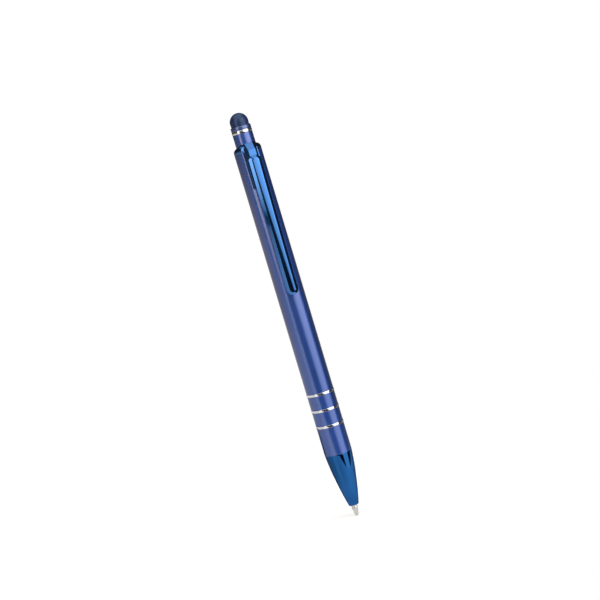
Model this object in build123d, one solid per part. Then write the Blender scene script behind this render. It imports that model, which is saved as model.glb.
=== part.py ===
from build123d import *
import os
from math import cos, hypot, pi, radians, sin, sqrt, tan

# A push-action ball pen with a stylus dome on its button, point out.
# Millimetres. +Z runs from the writing ball to the dome, the origin is the lowest
# point of the ball, and the pocket clip is on the -Y side.

# Heights along the pen, from the paper upwards
point_reach = 4.04
nose_length = 18.57
barrel_length = 105.6
collar_height = 1.9
sleeve_reach = 4.62
plunger_ring_width = 0.9
ferrule_height = 1.37
dome_rise = 4.4

# Barrel tube and its trim rings
barrel_radius = 4.7
barrel_wall = 0.6
trim_ring_rise = 10.15
trim_ring_spacing = 5.62
trim_ring_count = 3
trim_ring_width = 0.85
trim_ring_seat = 0.28
trim_ring_proud = 0.1

# Threaded bush and nose cone
insert_length = 9.4
insert_wall = 0.7
spigot_length = 8.0
nose_end_radius = 1.75
nose_bulge = 0.41
nose_lip_round = 0.15
nose_land = 3.2
nose_throat_length = 2.8
nose_edge_step = 0.02

# Collar, its tongue and the root of the clip
collar_slant = 10.0
collar_round = 0.95
tongue_length = 12.4
tongue_half_width = 2.55
tongue_corner = 0.5
root_drop = 3.2
root_bend_rise = 0.4
root_front_half_width = 1.25
root_base_half_width = 2.75
root_cover = 0.3

# Pocket clip
clip_stand = 3.0
clip_drop = 1.6
clip_overlap = 1.75
clip_length = 48.1
clip_thickness = 1.1
clip_half_width_top = 2.1
clip_half_width_end = 1.95
clip_corner = 1.05
clip_chamfer = 0.75
clip_dimple_radius = 1.5
clip_dimple_rise = 5.2

# Push button
sleeve_radius = 3.4
sleeve_wall = 0.5
sleeve_web = 2.0
sleeve_depth = 9.1
plunger_ring_proud = 0.06
ferrule_proud = 0.02
ferrule_round = 0.35
ferrule_floor = 0.42
dome_radius = 3.12
dome_neck_step = 0.07
dome_wall = 0.85
stem_radius = 1.55
stem_head_rise = 2.2
stem_depth = 2.9

# Click mechanism
guide_length = 22.2
rib_depth = 0.7
rib_length = 8.0
rib_low_depth = 17.2
rib_notch = 0.8
groove_width = 1.5
fin_width = 1.2
fin_count = 4
tooth_count = 8
tooth_depth = 0.7
pusher_plug_length = 8.0
pusher_fin_length = 4.5
rotor_length = 4.5
rotor_fin_length = 3.6
rotor_spigot_radius = 1.5
rotor_spigot_length = 4.4
rotor_boss_radius = 1.2
rotor_boss_length = 1.4

# Refill and return spring
ball_radius = 0.5
ball_show = 0.35
lip_wall = 0.08
point_radius = 1.12
point_taper_length = 2.4
point_shoulder_low = 9.0
point_shoulder_length = 2.0
point_tail_length = 3.0
ink_channel_radius = 0.25
tube_radius = 1.5
tube_wall = 0.4
tube_flange_step = 0.55
tube_flange_height = 1.5
ink_headspace = 14.8
plug_cup_depth = 1.5
plug_shank_length = 4.0
plug_flange_height = 0.4
vent_radius = 0.3
spring_length = 14.0
spring_radius = 1.92
spring_wire_radius = 0.2
spring_turns = 9
spring_steps_per_turn = 48

# Clearances
press_gap = 0.02
running_gap = 0.05
slide_gap = 0.1
seat_gap = 0.03
joint_gap = 0.08
tongue_gap = 0.12
ball_gap = 0.02
overrun = 5.0

# Shares
tooth_land_share = 0.9
round_limit_share = 0.9

# Heights and radii that follow from the sizes above
nose_low = point_reach
nose_top = nose_low + nose_length
barrel_top = nose_top + barrel_length
collar_top = barrel_top + collar_height
ring_low = collar_top + sleeve_reach
ferrule_low = ring_low + plunger_ring_width
ferrule_top = ferrule_low + ferrule_height
dome_top = ferrule_top + dome_rise
barrel_bore = barrel_radius - barrel_wall
collar_radius = barrel_radius + seat_gap
nose_radius = barrel_radius - nose_edge_step
guide_radius = barrel_bore - press_gap
guide_bore = sleeve_radius + running_gap
rib_radius = guide_bore - rib_depth
core_radius = rib_radius - slide_gap
fin_radius = guide_bore - slide_gap
insert_bore = barrel_bore - insert_wall
spigot_radius = insert_bore - running_gap
nose_orifice = point_radius + slide_gap
nose_throat = tube_radius + slide_gap
spring_chamber = spring_radius + spring_wire_radius + slide_gap
spring_seat = nose_low + nose_land + nose_throat_length
flange_low = spring_seat + spring_length
tube_low = point_shoulder_low + point_shoulder_length
tube_bore = tube_radius - tube_wall
sleeve_bore = sleeve_radius - sleeve_wall
sleeve_low = collar_top - sleeve_depth
stem_hole = stem_radius + running_gap
rib_low = barrel_top - rib_low_depth
rotor_fin_top = rib_low - 2 * slide_gap
rotor_top = rib_low + 3 * slide_gap
pusher_low = rotor_top + slide_gap
rotor_low = rotor_top - rotor_length
plug_top = rotor_low - slide_gap
tube_top = plug_top - plug_cup_depth - plug_flange_height
root_low = barrel_top - root_drop
root_bend = barrel_top + root_bend_rise
clip_top = root_low + clip_overlap
clip_end = clip_top - clip_length
clip_outer = barrel_radius + clip_stand
clip_inner = clip_outer - clip_thickness
root_front = clip_inner - joint_gap


def tube(outer, inner, low, high):
    """A plain tube about the pen's axis between two heights."""
    wall = Cylinder(outer, high - low) - Cylinder(inner, high - low)
    return Pos(0, 0, (low + high) / 2) * wall


def rod(radius, low, high):
    """A plain round bar about the pen's axis between two heights."""
    return Pos(0, 0, (low + high) / 2) * Cylinder(radius, high - low)


def turned(*edges):
    """A body turned about the pen's axis from the edges of its half section."""
    return revolve(Plane.XZ * make_face(edges), Axis.Z)


def arc_bulged(start, end, bulge):
    """An arc between two points of a half section that swells outwards by bulge."""
    length = hypot(end[0] - start[0], end[1] - start[1])
    out = ((start[1] - end[1]) / length, (end[0] - start[0]) / length)
    middle = (
        (start[0] + end[0]) / 2 + bulge * out[0],
        (start[1] + end[1]) / 2 + bulge * out[1],
    )
    return ThreePointArc(start, middle, end)


def side_slab(outline, half_width):
    """A slab across the pen: outline is (distance in front of the axis, height)."""
    face = make_face(Polyline(*[(-front, height) for front, height in outline], close=True))
    return extrude(Plane.YZ * face, half_width, both=True)


def front_slab(face, reach):
    """A face drawn on (across, height), carried forward from the axis by reach."""
    return extrude(Plane.XZ * face, reach)


def round_copies(shape, count):
    """Copies of a shape spaced evenly about the pen's axis."""
    return [Rot(0, 0, 360 / count * index) * shape for index in range(count)]


def blades(width, reach, low, high):
    """Four fins or grooves that cross on the pen's axis and stop at a radius."""
    blade = Pos(reach / 2, 0, (low + high) / 2) * Box(reach, width, high - low)
    limit = rod(reach, low, high)
    return [copy & limit for copy in round_copies(blade, fin_count)]


def crown_notches(edge, reach, rise):
    """V notches round a cam's end face, so that pointed teeth are left between them."""
    half = reach * tan(pi / tooth_count) * tooth_land_share
    mouth = edge - rise
    corners = [(-half, mouth), (half, mouth), (half, edge), (0, edge + rise), (-half, edge)]
    face = make_face(Polyline(*corners, close=True))
    notch = extrude(Plane.YZ.offset(rotor_spigot_radius) * face, reach)
    return round_copies(notch, tooth_count)


def trim_ring_heights():
    """Middle heights of the barrel's trim rings, lowest first."""
    first = nose_top + trim_ring_rise
    return [first + trim_ring_spacing * index for index in range(trim_ring_count)]


def make_barrel():
    """Tube with a groove for each trim ring and a slot for the collar's tongue."""
    body = tube(barrel_radius, barrel_bore, nose_top, barrel_top)
    floor = barrel_radius - trim_ring_seat - press_gap
    half = trim_ring_width / 2 + press_gap
    for height in trim_ring_heights():
        body -= tube(barrel_radius + overrun, floor, height - half, height + half)
    slot = tongue_face(tongue_half_width + tongue_gap, tongue_length + tongue_gap, tongue_corner + tongue_gap)
    return body - front_slab(slot, barrel_radius + overrun)


def make_trim_ring(height):
    """Half-round ring seated in its groove and a little proud of the barrel."""
    inner = barrel_radius - trim_ring_seat
    half = trim_ring_width / 2
    low, high = height - half, height + half
    crown = ThreePointArc(
        (barrel_radius, low), (barrel_radius + trim_ring_proud, height), (barrel_radius, high)
    )
    return turned(
        Line((inner, low), (barrel_radius, low)),
        crown,
        Line((barrel_radius, high), (inner, high)),
        Line((inner, high), (inner, low)),
    )


def make_insert():
    """Bush pressed into the barrel's lower end, which takes the nose cone's thread."""
    return tube(barrel_bore - press_gap, insert_bore, nose_top, nose_top + insert_length)


def make_nose():
    """Ogive nose with its threaded spigot, spring chamber and orifice."""
    top = (nose_radius, nose_top)
    end = (nose_end_radius, nose_low)
    spigot_top = nose_top + spigot_length
    shell = turned(
        arc_bulged(end, top, -nose_bulge),
        Line(top, (spigot_radius, nose_top)),
        Line((spigot_radius, nose_top), (spigot_radius, spigot_top)),
        Line((spigot_radius, spigot_top), (0, spigot_top)),
        Line((0, spigot_top), (0, nose_low)),
        Line((0, nose_low), end),
    )
    lip = shell.edges().group_by(Axis.Z)[0].filter_by(GeomType.CIRCLE)
    shell = fillet(lip, nose_lip_round)
    land_top = nose_low + nose_land
    shell -= rod(nose_orifice, nose_low - overrun, land_top)
    shell -= rod(nose_throat, land_top, spring_seat)
    return shell - rod(spring_chamber, spring_seat, spigot_top + overrun)


def tongue_face(half_width, length, corner):
    """Outline of the collar's tongue, seen from the front: square above, rounded below."""
    low = barrel_top - length
    high = barrel_top + collar_height
    sheet = Pos(0, (low + high) / 2) * Rectangle(2 * half_width, high - low)
    lower = sheet.vertices().group_by(Axis.Y)[0]
    return fillet(lower, corner)


def make_collar():
    """Cap ring with a slanted rounded top, the root of the clip and a locating tongue."""
    slope = tan(radians(collar_slant))
    highest = collar_top + barrel_radius * slope
    back_height = collar_height - barrel_radius * slope
    cap = rod(collar_radius, barrel_top, highest + overrun)
    tilt = Plane((0, 0, collar_top), z_dir=(0, sin(radians(collar_slant)), cos(radians(collar_slant))))
    cap = split(cap, bisect_by=tilt, keep=Keep.BOTTOM)
    rim = cap.edges().filter_by(GeomType.ELLIPSE)
    shoulder = min(collar_round, round_limit_share * min(back_height, barrel_radius - guide_bore))
    cap = fillet(rim, shoulder)
    cap += make_root(slope)
    cap -= rod(guide_bore, barrel_top - overrun, highest + overrun)
    low = barrel_top - tongue_length
    plate = tube(barrel_radius - seat_gap, guide_radius + seat_gap, low, barrel_top + collar_height / 2)
    face = tongue_face(tongue_half_width, tongue_length, tongue_corner)
    return cap + (plate & front_slab(face, barrel_radius + overrun))


def make_root(slope):
    """Root of the clip: a block with flared sides that bends over the collar's front."""
    crest = collar_top + guide_bore * slope + root_cover
    outline = [
        (0, root_low),
        (root_front, root_low),
        (root_front, root_bend),
        (guide_bore + collar_round, crest),
        (0, crest),
    ]
    block = side_slab(outline, root_base_half_width + overrun)
    flare = make_face(
        Polyline(
            (-root_front_half_width, -root_front),
            (root_front_half_width, -root_front),
            (root_base_half_width, -guide_bore),
            (root_base_half_width, 0),
            (-root_base_half_width, 0),
            (-root_base_half_width, -guide_bore),
            close=True,
        )
    )
    block &= extrude(Pos(0, 0, root_low) * flare, crest - root_low)
    return block - rod(collar_radius, root_low - overrun, barrel_top)


def make_clip():
    """Pocket clip: a tapered bar with chamfers all round its face and a gripping dimple."""
    end_outer = clip_outer - clip_drop
    outline = [
        (clip_outer, clip_top),
        (end_outer, clip_end),
        (end_outer - clip_thickness, clip_end),
        (clip_inner, clip_top),
    ]
    bar = side_slab(outline, clip_half_width_top + overrun)
    round_centre = clip_end + clip_half_width_end
    plan = make_face(
        [
            Line((-clip_half_width_end, round_centre), (-clip_half_width_top, clip_top)),
            Line((-clip_half_width_top, clip_top), (clip_half_width_top, clip_top)),
            Line((clip_half_width_top, clip_top), (clip_half_width_end, round_centre)),
            ThreePointArc(
                (clip_half_width_end, round_centre), (0, clip_end), (-clip_half_width_end, round_centre)
            ),
        ]
    )
    plan = chamfer(plan.vertices().group_by(Axis.Y)[-1], clip_corner)
    bar &= front_slab(plan, clip_outer + overrun)
    broad_faces = bar.faces().sort_by(SortBy.AREA)[-2:]
    outer_face = broad_faces.sort_by(Axis.Y)[0]
    bar = chamfer(outer_face.edges(), clip_chamfer)
    return bar + clip_dimple(end_outer)


def clip_dimple(end_outer):
    """Round dimple under the clip's free end, which grips cloth against the barrel."""
    height = clip_end + clip_dimple_rise
    tip = barrel_radius + joint_gap
    back = end_outer - clip_thickness / 2
    ball = Pos(0, -tip - clip_dimple_radius, height) * Sphere(clip_dimple_radius)
    keep = Pos(0, -(tip + back) / 2, height) * Box(2 * overrun, back - tip, 2 * overrun)
    return ball & keep


def make_sleeve():
    """Button tube, closed at the top by a web that takes the stylus screw."""
    body = rod(sleeve_radius, sleeve_low, ring_low)
    body -= rod(sleeve_bore, sleeve_low - overrun, ring_low - sleeve_web)
    return body - rod(stem_hole, sleeve_low, ring_low + overrun)


def make_plunger_ring():
    """Bright ring clamped between sleeve and ferrule, with a slightly crowned rim."""
    half = plunger_ring_width / 2
    rim = ThreePointArc(
        (sleeve_radius, ring_low),
        (sleeve_radius + plunger_ring_proud, ring_low + half),
        (sleeve_radius, ferrule_low),
    )
    return turned(
        Line((stem_hole, ring_low), (sleeve_radius, ring_low)),
        rim,
        Line((sleeve_radius, ferrule_low), (stem_hole, ferrule_low)),
        Line((stem_hole, ferrule_low), (stem_hole, ring_low)),
    )


def make_ferrule():
    """Cup that holds the skirt of the rubber dome under a rounded lip."""
    cup = rod(sleeve_radius + ferrule_proud, ferrule_low, ferrule_top)
    lip = cup.edges().group_by(Axis.Z)[-1]
    cup = fillet(lip, min(ferrule_round, round_limit_share * (sleeve_radius - dome_radius + dome_neck_step)))
    cup -= rod(dome_radius - dome_neck_step + seat_gap, ferrule_low + ferrule_floor, ferrule_top + overrun)
    return cup - rod(stem_hole, ferrule_low - overrun, ferrule_top)


def make_dome():
    """Hollow rubber dome with a narrower skirt that stands in the ferrule."""
    low = ferrule_low + ferrule_floor
    centre = dome_top - dome_radius
    skirt = dome_radius - dome_neck_step
    outer = turned(
        Line((0, low), (skirt, low)),
        Line((skirt, low), (skirt, ferrule_top)),
        Line((skirt, ferrule_top), (dome_radius, centre)),
        ThreePointArc(
            (dome_radius, centre),
            (dome_radius * sin(pi / 4), centre + dome_radius * cos(pi / 4)),
            (0, dome_top),
        ),
        Line((0, dome_top), (0, low)),
    )
    hollow = rod(skirt - dome_wall, low - overrun, centre)
    hollow += Pos(0, 0, centre) * Sphere(skirt - dome_wall)
    return outer - hollow


def make_stem():
    """Screw with a mushroom head inside the dome and a shank down into the sleeve."""
    low = ferrule_low + ferrule_floor
    head = dome_radius - dome_neck_step - dome_wall - seat_gap
    body = rod(head, low, low + stem_head_rise)
    rim = body.edges().group_by(Axis.Z)[-1]
    body = fillet(rim, head / 2)
    return body + rod(stem_radius, ring_low - stem_depth, low)


def make_pusher():
    """Push rod: a plug in the sleeve, a finned neck in the guide and a toothed end."""
    plug_top_height = ring_low - stem_depth - slide_gap
    plug_low = plug_top_height - pusher_plug_length
    body = rod(sleeve_bore - press_gap, plug_low, plug_top_height)
    body += rod(core_radius, pusher_low, plug_low)
    fin_low = pusher_low + tooth_depth + slide_gap
    for fin in blades(fin_width, fin_radius, fin_low, fin_low + pusher_fin_length):
        body += fin
    depth = rotor_spigot_length + tooth_depth
    body -= rod(rotor_spigot_radius + running_gap, pusher_low - overrun, pusher_low + depth)
    for notch in crown_notches(pusher_low, core_radius, tooth_depth):
        body -= notch
    return body


def make_rotor():
    """Indexing cam: toothed core with fins, a guiding spigot and a boss on the refill."""
    body = rod(core_radius, rotor_low, rotor_top)
    for notch in crown_notches(rotor_top, core_radius, -tooth_depth):
        body -= notch
    for fin in blades(fin_width, fin_radius, rotor_fin_top - rotor_fin_length, rotor_fin_top):
        body += fin
    body += rod(rotor_spigot_radius, rotor_low, rotor_top + rotor_spigot_length)
    return body + rod(rotor_boss_radius, plug_top - rotor_boss_length, rotor_low)


def make_guide():
    """Guide tube with ribs that leave grooves for the fins and carry catch notches."""
    low = barrel_top - guide_length
    body = tube(guide_radius, guide_bore, low, barrel_top)
    ribs = tube(guide_bore + seat_gap, rib_radius, rib_low, rib_low + rib_length)
    for groove in blades(groove_width, guide_bore, rib_low, rib_low + rib_length):
        ribs -= groove
    half = guide_bore * tan(pi / (2 * tooth_count))
    corners = [(-half, rib_low), (half, rib_low), (half, rib_low + rib_notch)]
    notch = extrude(Plane.YZ * make_face(Polyline(*corners, close=True)), guide_bore)
    half_pitch = 180 / fin_count
    for copy in round_copies(Rot(0, 0, half_pitch) * notch, fin_count):
        ribs -= copy
    return body + ribs


def make_point():
    """Turned metal point of the refill with the socket of its ball."""
    lip = sqrt((ball_radius + ball_gap) ** 2 - (ball_radius - ball_show) ** 2) + lip_wall
    taper_top = ball_show + point_taper_length
    tail_top = tube_low + point_tail_length
    corners = [
        (0, ball_show),
        (lip, ball_show),
        (point_radius, taper_top),
        (point_radius, point_shoulder_low),
        (tube_radius, point_shoulder_low),
        (tube_radius, tube_low),
        (tube_bore - seat_gap, tube_low),
        (tube_bore - seat_gap, tail_top),
        (0, tail_top),
    ]
    body = turned(Polyline(*corners, close=True))
    body -= Pos(0, 0, ball_radius) * Sphere(ball_radius + ball_gap)
    return body - rod(ink_channel_radius, ball_radius, tail_top + overrun)


def make_ball():
    """Writing ball, whose lowest point is the origin."""
    return Pos(0, 0, ball_radius) * Sphere(ball_radius)


def make_refill_tube():
    """Ink tube with the flange that the return spring pushes on."""
    body = tube(tube_radius, tube_bore, tube_low, tube_top)
    flange = tube_radius + tube_flange_step
    return body + tube(flange, tube_bore, flange_low, flange_low + tube_flange_height)


def make_ink():
    """Ink from the point's tail up to the air space under the plug."""
    low = tube_low + point_tail_length + seat_gap
    high = tube_top - plug_shank_length - ink_headspace
    return rod(tube_bore - seat_gap, low, high)


def make_plug():
    """Vented plug of the refill, with a cup that takes the rotor's boss."""
    floor = plug_top - plug_cup_depth
    body = rod(tube_radius, tube_top, plug_top)
    body += rod(tube_bore - seat_gap, tube_top - plug_shank_length, tube_top)
    body -= rod(rotor_boss_radius + running_gap, floor, plug_top + overrun)
    return body - rod(vent_radius, tube_top - plug_shank_length - overrun, plug_top)


def helix_point(turn, low, rise):
    """Point and tangent of the spring's middle line after a number of turns."""
    angle = 2 * pi * turn
    slope = rise / (2 * pi)
    length = hypot(spring_radius, slope)
    point = Vector(spring_radius * cos(angle), spring_radius * sin(angle), low + rise * turn)
    tangent = Vector(-spring_radius * sin(angle), spring_radius * cos(angle), slope) / length
    return point, tangent


def biarc(start, end):
    """Two tangent arcs between two points with given tangents."""
    (first, leaving), (last, arriving) = start, end
    chord = last - first
    turn = 2 * (1 - leaving.dot(arriving))
    along = chord.dot(leaving + arriving)
    reach = (sqrt(along**2 + turn * chord.dot(chord)) - along) / turn
    inner = first + leaving * reach
    outer = last - arriving * reach
    middle = (inner + outer) / 2
    heading = (outer - inner).normalized()
    return [TangentArc(first, middle, tangent=leaving), TangentArc(middle, last, tangent=heading)]


def make_spring():
    """Return spring: one wire wound on quarter-turn biarcs between its two seats."""
    margin = spring_wire_radius + seat_gap
    low = spring_seat + margin
    rise = (spring_length - 2 * margin) / spring_turns
    quarters = [helix_point(index / 4, low, rise) for index in range(4 * spring_turns + 1)]
    path = []
    for start, end in zip(quarters, quarters[1:]):
        path += biarc(start, end)
    wire_line = Wire(path)
    section = Plane(quarters[0][0], z_dir=quarters[0][1]) * Circle(spring_wire_radius)
    print("spring least gap to itself, mm:", round(spring_gap(low, rise), 3))
    return sweep(section, path=wire_line)


def spring_gap(low, rise):
    """Least clear distance between the wire and its neighbouring turns, measured on points."""
    count = spring_turns * spring_steps_per_turn
    points = [helix_point(index / spring_steps_per_turn, low, rise)[0] for index in range(count + 1)]
    apart = spring_steps_per_turn // 2
    nearest = min(
        (points[late] - points[early]).length
        for early in range(0, count, apart)
        for late in range(early + apart, count + 1)
    )
    return nearest - 2 * spring_wire_radius


def make_parts():
    """All pieces of the pen by node name."""
    lower, middle, upper = trim_ring_heights()
    return {
        "barrel": make_barrel(),
        "upper_ring": make_trim_ring(upper),
        "middle_ring": make_trim_ring(middle),
        "lower_ring": make_trim_ring(lower),
        "barrel_insert": make_insert(),
        "nose_cone": make_nose(),
        "collar": make_collar(),
        "clip_arm": make_clip(),
        "plunger_sleeve": make_sleeve(),
        "plunger_ring": make_plunger_ring(),
        "stylus_ferrule": make_ferrule(),
        "stylus_dome": make_dome(),
        "stylus_stem": make_stem(),
        "pusher": make_pusher(),
        "rotor": make_rotor(),
        "cam_guide": make_guide(),
        "return_spring": make_spring(),
        "refill_point": make_point(),
        "writing_ball": make_ball(),
        "refill_tube": make_refill_tube(),
        "ink_column": make_ink(),
        "refill_plug": make_plug(),
    }


os.makedirs("parts", exist_ok=True)
for node, shape in make_parts().items():
    export_step(shape, f"parts/{node}.step")
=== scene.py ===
"""Dressed scene of a push-action ball pen with a stylus dome on its button."""

import logging
import math
from contextlib import contextmanager
from dataclasses import dataclass
from enum import Enum
from functools import reduce
from typing import Callable, Iterator, Optional, Sequence, Union

import bmesh
import bpy
from mathutils import Matrix, Vector


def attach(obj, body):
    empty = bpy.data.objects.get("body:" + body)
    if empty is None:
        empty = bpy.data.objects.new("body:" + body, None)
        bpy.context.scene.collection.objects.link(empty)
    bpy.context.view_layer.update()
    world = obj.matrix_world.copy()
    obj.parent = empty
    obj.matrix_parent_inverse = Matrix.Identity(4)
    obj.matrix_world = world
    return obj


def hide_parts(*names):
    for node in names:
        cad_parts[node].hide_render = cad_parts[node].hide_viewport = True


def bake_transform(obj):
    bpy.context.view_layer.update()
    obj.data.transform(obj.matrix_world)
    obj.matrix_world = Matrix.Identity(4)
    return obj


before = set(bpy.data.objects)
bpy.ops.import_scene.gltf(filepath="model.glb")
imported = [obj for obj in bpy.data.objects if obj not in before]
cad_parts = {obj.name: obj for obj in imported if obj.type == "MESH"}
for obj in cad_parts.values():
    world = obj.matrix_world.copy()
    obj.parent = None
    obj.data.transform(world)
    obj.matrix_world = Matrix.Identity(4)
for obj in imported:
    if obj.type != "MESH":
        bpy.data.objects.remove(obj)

LOG = logging.getLogger("stylus_pen")
MM = 0.001
WELD = 0.0005 * MM
FINE_CUT = 0.0001 * MM
COARSE_CUT = 0.1 * MM
FACING = 0.9
NOISE_LOW, NOISE_HIGH = 0.3, 0.7
UP = Vector((0, 0, 1))
Piece = bpy.types.Object
Material = bpy.types.Material
Socket = bpy.types.NodeSocket
Value = Union[Socket, float]
Span = tuple[float, float]
Station = tuple[float, float]
Place = tuple[float, float, float]
Colour = tuple[float, float, float]


class Body(Enum):
    """Moving bodies of the pen."""

    BARREL = "barrel"
    BUTTON = "button"
    REFILL = "refill"
    CLIP = "clip"


class Slot(Enum):
    """Material slots of the pen's record."""

    SATIN_BLUE = "satin_blue"
    GLOSS_BLUE = "gloss_blue"
    BRIGHT_TRIM = "bright_trim"
    STYLUS_RUBBER = "stylus_rubber"
    NICKEL_SILVER = "nickel_silver"
    STEEL = "steel"


class Cut(Enum):
    """Ways in which one solid works on another."""

    UNION = "UNION"
    DIFFERENCE = "DIFFERENCE"
    INTERSECT = "INTERSECT"


class Pick(Enum):
    """Kinds of mesh elements that can be picked."""

    FACES = "FACE"
    EDGES = "EDGE"
    POINTS = "VERT"


class Bench:
    """Hand tools for shaping meshes; lengths in metres, angles in degrees."""

    @staticmethod
    def clear() -> None:
        """Leave edit mode and drop the selection."""
        if bpy.context.object and bpy.context.object.mode != "OBJECT":
            bpy.ops.object.mode_set(mode="OBJECT")
        bpy.ops.object.select_all(action="DESELECT")

    @staticmethod
    def take(piece: Piece) -> None:
        """Make one piece the only selected and active one.

        Args:
            piece: the piece.
        """
        Bench.clear()
        piece.select_set(True)
        bpy.context.view_layer.objects.active = piece

    @staticmethod
    @contextmanager
    def editing(piece: Piece) -> Iterator[None]:
        """Work on a piece in edit mode, with all of it selected at first.

        Args:
            piece: the mesh to open.
        """
        Bench.take(piece)
        bpy.ops.object.mode_set(mode="EDIT")
        bpy.ops.mesh.select_all(action="SELECT")
        yield
        bpy.ops.object.mode_set(mode="OBJECT")

    @staticmethod
    def pick(piece: Piece, kind: Pick, test: Callable[..., bool]) -> None:
        """Select elements of the open mesh by place.

        Args:
            piece: the mesh in edit mode.
            kind: the kind of elements.
            test: takes a face's centre and normal, an edge's two ends or a point.
        """
        bpy.ops.mesh.select_mode(type=kind.value)
        bpy.ops.mesh.select_all(action="DESELECT")
        mesh = bmesh.from_edit_mesh(piece.data)
        if kind is Pick.FACES:
            found = [face for face in mesh.faces if test(face.calc_center_median(), face.normal)]
        elif kind is Pick.EDGES:
            found = [edge for edge in mesh.edges if test(*(end.co for end in edge.verts))]
        else:
            found = [point for point in mesh.verts if test(point.co)]
        for element in found:
            element.select_set(True)
        mesh.select_flush_mode()
        bmesh.update_edit_mesh(piece.data)

    @staticmethod
    def pick_first(piece: Piece, count: int) -> None:
        """Select the edges between the first points of the open mesh.

        Args:
            piece: the mesh in edit mode.
            count: number of the points.
        """
        bpy.ops.mesh.select_all(action="DESELECT")
        mesh = bmesh.from_edit_mesh(piece.data)
        for edge in mesh.edges:
            edge.select_set(all(end.index < count for end in edge.verts))
        bmesh.update_edit_mesh(piece.data)

    @staticmethod
    def settle(name: str) -> Piece:
        """Name the new piece and move its place into its mesh.

        Args:
            name: its name.

        Returns:
            The piece.
        """
        piece = bpy.context.object
        Bench.take(piece)
        bpy.ops.object.transform_apply(location=True, rotation=True, scale=True)
        piece.name = piece.data.name = name
        return piece

    @staticmethod
    def box(name: str, low: Place, high: Place) -> Piece:
        """Add a block between two corners.

        Args:
            name: name of the new piece.
            low: its lowest corner.
            high: its highest corner.

        Returns:
            The block.
        """
        Bench.clear()
        centre = [(a + b) / 2 for a, b in zip(low, high)]
        extent = [b - a for a, b in zip(low, high)]
        bpy.ops.mesh.primitive_cube_add(size=1.0, location=centre, scale=extent)
        return Bench.settle(name)

    @staticmethod
    def tab(name: str, low: Place, high: Place, corner: float) -> Piece:
        """Add a block with its two lower corners rounded, as seen from the clip.

        Args:
            name: name of the new piece.
            low: its lowest corner.
            high: its highest corner.
            corner: radius of the rounded corners.

        Returns:
            The block.
        """
        block = Bench.box(name, low, high)
        deep, middle = (high[1] - low[1]) / 2, (low[2] + high[2]) / 2
        with Bench.editing(block):
            Bench.pick(
                block, Pick.EDGES, lambda a, b: abs(a.y - b.y) > deep and max(a.z, b.z) < middle
            )
            bpy.ops.mesh.bevel(offset=corner, segments=8, affect="EDGES")
        return block

    @staticmethod
    def rod(name: str, radius: float, low: float, high: float, sides: int) -> Piece:
        """Add a round bar on the pen's axis.

        Args:
            name: name of the new piece.
            radius: its radius.
            low: its lower end.
            high: its upper end.
            sides: number of its sides.

        Returns:
            The bar.
        """
        Bench.clear()
        bpy.ops.mesh.primitive_cylinder_add(
            vertices=sides, radius=radius, depth=high - low, location=(0, 0, (low + high) / 2)
        )
        return Bench.settle(name)

    @staticmethod
    def turn(name: str, section: Sequence[Station], sides: int, closed: bool = True) -> Piece:
        """Turn a section about the pen's axis, ring after ring.

        Args:
            name: name of the new piece.
            section: (radius, height) stations; a radius of 0 is a pole.
            sides: number of sides.
            closed: whether the last station joins the first.

        Returns:
            The turned piece, with outward normals.
        """
        Bench.clear()
        starts_on_pole = section[0][0] == 0
        rings = list(section[1:] if starts_on_pole else section)
        if closed:
            rings.append(rings[0])
        radius, height = rings[0]
        bpy.ops.mesh.primitive_circle_add(
            vertices=sides, radius=radius, fill_type="NOTHING", location=(0, 0, height)
        )
        piece = Bench.settle(name)
        with Bench.editing(piece):
            bpy.ops.mesh.select_mode(type="EDGE")
            for here, there in zip(rings, rings[1:]):
                Bench.draw_ring(here, there)
            if starts_on_pole:
                Bench.pick_first(piece, sides)
                Bench.draw_ring(rings[0], section[0])
            bpy.ops.mesh.select_all(action="SELECT")
            bpy.ops.mesh.remove_doubles(threshold=WELD)
            bpy.ops.mesh.normals_make_consistent(inside=False)
        return piece

    @staticmethod
    def draw_ring(here: Station, there: Station) -> None:
        """Extrude the selected ring to the next station of a section.

        Args:
            here: station of the selected ring.
            there: the next station; a radius of 0 closes the ring in a pole.
        """
        rise = there[1] - here[1]
        bpy.ops.mesh.extrude_edges_move(TRANSFORM_OT_translate={"value": (0, 0, rise)})
        if there[0] == 0:
            bpy.ops.mesh.merge(type="CENTER")
            return
        share = there[0] / here[0]
        bpy.ops.transform.resize(value=(share, share, 1), center_override=(0, 0, there[1]))

    @staticmethod
    def trim(place: Place, normal: Place, reach: float = COARSE_CUT) -> None:
        """Cut the open mesh off beyond a plane, snapped to points within reach, and close it."""
        bpy.ops.mesh.bisect(
            plane_co=place, plane_no=normal, use_fill=True, clear_outer=True, threshold=reach
        )

    @staticmethod
    def score(place: Place, normal: Place) -> None:
        """Split the faces of the open mesh along a plane."""
        bpy.ops.mesh.select_all(action="SELECT")
        bpy.ops.mesh.bisect(plane_co=place, plane_no=normal, threshold=FINE_CUT)

    @staticmethod
    def combine(piece: Piece, tool: Piece, how: Cut) -> None:
        """Work one solid on another and remove the tool.

        Args:
            piece: the solid that stays.
            tool: the solid that is used up.
            how: the kind of cut.
        """
        Bench.modify(piece, "BOOLEAN", operation=how.value, object=tool, solver="EXACT")
        mesh = tool.data
        bpy.data.objects.remove(tool)
        bpy.data.meshes.remove(mesh)

    @staticmethod
    def weld(piece: Piece) -> None:
        """Merge the points of a piece that a cut left in the same place.

        Args:
            piece: the mesh to change.
        """
        with Bench.editing(piece):
            bpy.ops.mesh.remove_doubles(threshold=WELD)
            bpy.ops.mesh.dissolve_degenerate(threshold=WELD)

    @staticmethod
    def join(piece: Piece, other: Piece) -> None:
        """Make a second closed solid part of a piece's mesh.

        Args:
            piece: the solid that stays.
            other: the solid that goes into it.
        """
        Bench.take(piece)
        other.select_set(True)
        bpy.ops.object.join()

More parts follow.
